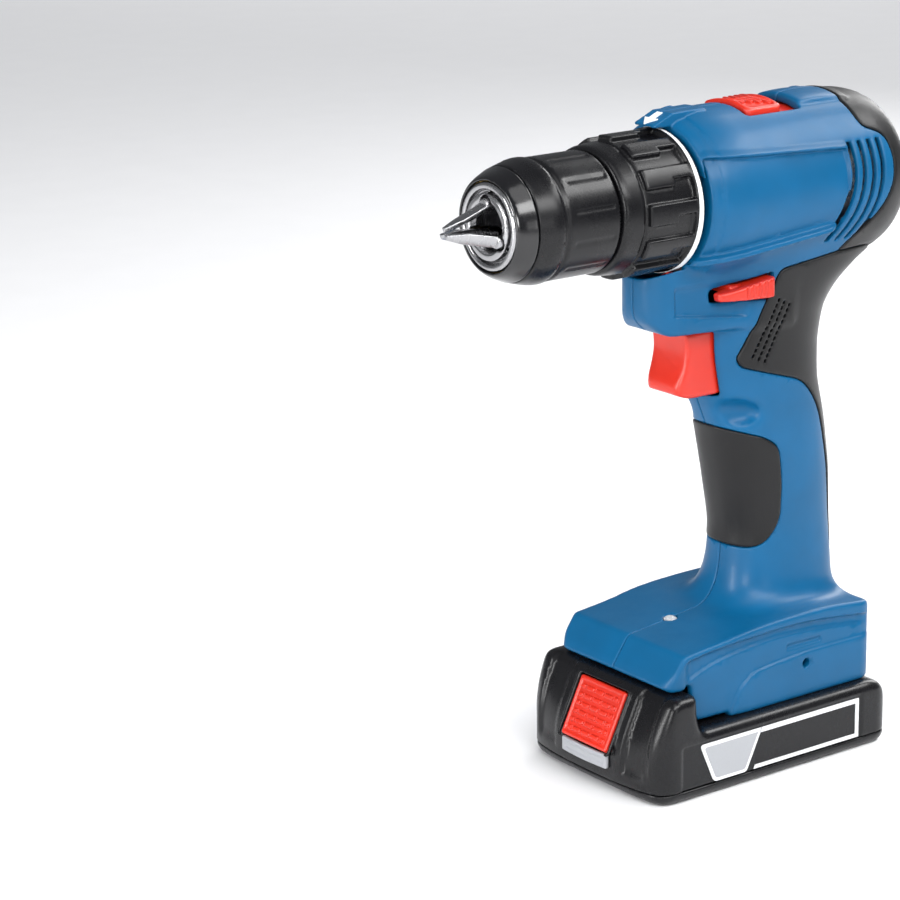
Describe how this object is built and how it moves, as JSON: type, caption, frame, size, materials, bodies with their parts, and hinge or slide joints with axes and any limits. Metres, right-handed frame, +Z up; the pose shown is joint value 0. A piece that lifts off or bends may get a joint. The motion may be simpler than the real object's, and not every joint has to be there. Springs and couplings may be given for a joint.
{
  "type": "cordless drill driver",
  "caption": "Pistol-grip cordless drill driver with keyless chuck, torque collar, two-speed gearbox, trigger and slide-off battery pack.",
  "frame": {"origin": "centre of the battery pack's flat underside, on which the tool stands", "axes": "+X along the drilling axis towards the chuck, +Y to the tool's left, +Z up"},
  "size_m": [0.1942, 0.0766, 0.2455],
  "materials": {
    "blue_shell": "satin moulded, blue",
    "black_rubber": "soft matt overmould",
    "black_plastic": "fine textured",
    "gloss_black": "polished",
    "red_plastic": "satin moulded, red",
    "grey_plastic": "fine textured",
    "steel": "machined",
    "dark_steel": "oiled",
    "nose_steel": "polished",
    "white_print": "printed",
    "label_print": "printed",
    "lens": "clear",
    "brass": "bare brass",
    "copper": "wound copper and steel laminations",
    "board": "circuit board",
    "wire_cover": "wire insulation",
    "cell_wrap": "shrink wrap"
  },
  "bodies": {
    "drill": {"left_housing": "blue_shell", "right_housing": "blue_shell", "front_grip": "black_rubber", "rear_grip": "black_rubber", "rear_cap": "black_rubber", "housing_screws": "dark_steel", "led_lens": "lens", "collar_pointer": "white_print", "gearbox_housing": "grey_plastic", "ring_gear_1": "steel", "ring_gear_3": "steel", "spindle_bearing": "steel", "clutch_spring": "steel", "motor_can": "steel", "motor_magnets": "dark_steel", "brush_holder": "black_plastic", "control_board": "board", "switch_body": "black_plastic", "terminal_block": "black_plastic", "wiring": "wire_cover"},
    "spindle": {"output_spindle": "steel", "chuck_body": "nose_steel", "chuck_screw": "dark_steel"},
    "sleeve": {"chuck_sleeve": "black_plastic", "sleeve_front_ring": "gloss_black", "jaw_nut": "brass"},
    "jaw_a": {"jaw_1": "nose_steel"},
    "jaw_b": {"jaw_2": "nose_steel"},
    "jaw_c": {"jaw_3": "nose_steel"},
    "collar": {"torque_collar": "black_plastic", "torque_scale": "white_print", "spring_nut": "grey_plastic"},
    "selector": {"gear_selector": "red_plastic", "ring_gear_2": "steel"},
    "trigger_unit": {"trigger": "red_plastic"},
    "direction": {"direction_lever": "red_plastic"},
    "rotor_unit": {"rotor": "copper", "cooling_fan": "black_plastic"},
    "first_carrier": {"carrier_1": "steel"},
    "second_carrier": {"carrier_2": "steel"},
    "planet_1a_unit": {"planet_1a": "steel"},
    "planet_1b_unit": {"planet_1b": "steel"},
    "planet_1c_unit": {"planet_1c": "steel"},
    "planet_2a_unit": {"planet_2a": "steel"},
    "planet_2b_unit": {"planet_2b": "steel"},
    "planet_2c_unit": {"planet_2c": "steel"},
    "planet_3a_unit": {"planet_3a": "steel"},
    "planet_3b_unit": {"planet_3b": "steel"},
    "planet_3c_unit": {"planet_3c": "steel"},
    "battery": {"battery_top_case": "black_plastic", "battery_bottom_case": "black_plastic", "battery_cells": "cell_wrap", "cell_straps": "steel", "battery_contacts": "brass", "battery_labels": "label_print", "front_insert": "grey_plastic"},
    "release": {"release_button": "red_plastic"}
  },
  "joints": [
    {"name": "spindle_spin", "type": "hinge", "parent": "drill", "child": "spindle", "pos_m": [0.05, 0, 0.2125], "axis": [1, 0, 0], "continuous": true},
    {"name": "chuck_sleeve_turn", "type": "hinge", "parent": "spindle", "child": "sleeve", "pos_m": [0.08, 0, 0.2125], "axis": [1, 0, 0], "range_deg": [0, 3060]},
    {"name": "jaw_a_slide", "type": "slide", "parent": "spindle", "child": "jaw_a", "axis": [-0.9563, 0, 0.2924], "range_m": [0, 0.0214]},
    {"name": "jaw_b_slide", "type": "slide", "parent": "spindle", "child": "jaw_b", "axis": [-0.9563, -0.2532, -0.1462], "range_m": [0, 0.0214]},
    {"name": "jaw_c_slide", "type": "slide", "parent": "spindle", "child": "jaw_c", "axis": [-0.9563, 0.2532, -0.1462], "range_m": [0, 0.0214]},
    {"name": "torque_collar_turn", "type": "hinge", "parent": "drill", "child": "collar", "pos_m": [0.04, 0, 0.2125], "axis": [1, 0, 0], "range_deg": [-40, 250]},
    {"name": "gear_select", "type": "slide", "parent": "drill", "child": "selector", "axis": [-1, 0, 0], "range_m": [0, 0.006]},
    {"name": "trigger_pull", "type": "slide", "parent": "drill", "child": "trigger_unit", "axis": [-1, 0, 0], "range_m": [0, 0.008], "stiffness_N_per_m": 900, "springref_m": -0.004},
    {"name": "direction_push", "type": "slide", "parent": "drill", "child": "direction", "axis": [0, 1, 0], "range_m": [-0.003, 0.003]},
    {"name": "rotor_spin", "type": "hinge", "parent": "drill", "child": "rotor_unit", "pos_m": [-0.03, 0, 0.2125], "axis": [1, 0, 0], "continuous": true},
    {"name": "carrier_1_spin", "type": "hinge", "parent": "drill", "child": "first_carrier", "pos_m": [-0.006, 0, 0.2125], "axis": [1, 0, 0], "continuous": true},
    {"name": "carrier_2_spin", "type": "hinge", "parent": "drill", "child": "second_carrier", "pos_m": [0.005, 0, 0.2125], "axis": [1, 0, 0], "continuous": true},
    {"name": "planet_1a_spin", "type": "hinge", "parent": "first_carrier", "child": "planet_1a_unit", "pos_m": [-0.012, 0, 0.22405], "axis": [1, 0, 0], "continuous": true},
    {"name": "planet_1b_spin", "type": "hinge", "parent": "first_carrier", "child": "planet_1b_unit", "pos_m": [-0.012, -0.01, 0.20672], "axis": [1, 0, 0], "continuous": true},
    {"name": "planet_1c_spin", "type": "hinge", "parent": "first_carrier", "child": "planet_1c_unit", "pos_m": [-0.012, 0.01, 0.20672], "axis": [1, 0, 0], "continuous": true},
    {"name": "planet_2a_spin", "type": "hinge", "parent": "second_carrier", "child": "planet_2a_unit", "pos_m": [-0.001, 0, 0.22405], "axis": [1, 0, 0], "continuous": true},
    {"name": "planet_2b_spin", "type": "hinge", "parent": "second_carrier", "child": "planet_2b_unit", "pos_m": [-0.001, -0.01, 0.20672], "axis": [1, 0, 0], "continuous": true},
    {"name": "planet_2c_spin", "type": "hinge", "parent": "second_carrier", "child": "planet_2c_unit", "pos_m": [-0.001, 0.01, 0.20672], "axis": [1, 0, 0], "continuous": true},
    {"name": "planet_3a_spin", "type": "hinge", "parent": "spindle", "child": "planet_3a_unit", "pos_m": [0.0115, 0, 0.22405], "axis": [1, 0, 0], "continuous": true},
    {"name": "planet_3b_spin", "type": "hinge", "parent": "spindle", "child": "planet_3b_unit", "pos_m": [0.0115, -0.01, 0.20672], "axis": [1, 0, 0], "continuous": true},
    {"name": "planet_3c_spin", "type": "hinge", "parent": "spindle", "child": "planet_3c_unit", "pos_m": [0.0115, 0.01, 0.20672], "axis": [1, 0, 0], "continuous": true},
    {"name": "battery_slide", "type": "slide", "parent": "drill", "child": "battery", "axis": [1, 0, 0], "range_m": [0, 0.1]},
    {"name": "release_press", "type": "slide", "parent": "battery", "child": "release", "axis": [-0.8995, 0, -0.4369], "range_m": [0, 0.003], "stiffness_N_per_m": 800, "springref_m": -0.003}
  ],
  "couplings": [
    {"joint": "rotor_spin", "follows": "spindle_spin", "ratio": 49.296},
    {"joint": "carrier_1_spin", "follows": "spindle_spin", "ratio": 13.444},
    {"joint": "carrier_2_spin", "follows": "spindle_spin", "ratio": 3.6667},
    {"joint": "planet_1a_spin", "follows": "spindle_spin", "ratio": -43.022},
    {"joint": "planet_1b_spin", "follows": "spindle_spin", "ratio": -43.022},
    {"joint": "planet_1c_spin", "follows": "spindle_spin", "ratio": -43.022},
    {"joint": "planet_2a_spin", "follows": "spindle_spin", "ratio": -11.733},
    {"joint": "planet_2b_spin", "follows": "spindle_spin", "ratio": -11.733},
    {"joint": "planet_2c_spin", "follows": "spindle_spin", "ratio": -11.733},
    {"joint": "planet_3a_spin", "follows": "spindle_spin", "ratio": -3.2},
    {"joint": "planet_3b_spin", "follows": "spindle_spin", "ratio": -3.2},
    {"joint": "planet_3c_spin", "follows": "spindle_spin", "ratio": -3.2},
    {"joint": "jaw_a_slide", "follows": "chuck_sleeve_turn", "m_per_rad": 0.0004},
    {"joint": "jaw_b_slide", "follows": "chuck_sleeve_turn", "m_per_rad": 0.0004},
    {"joint": "jaw_c_slide", "follows": "chuck_sleeve_turn", "m_per_rad": 0.0004}
  ]
}
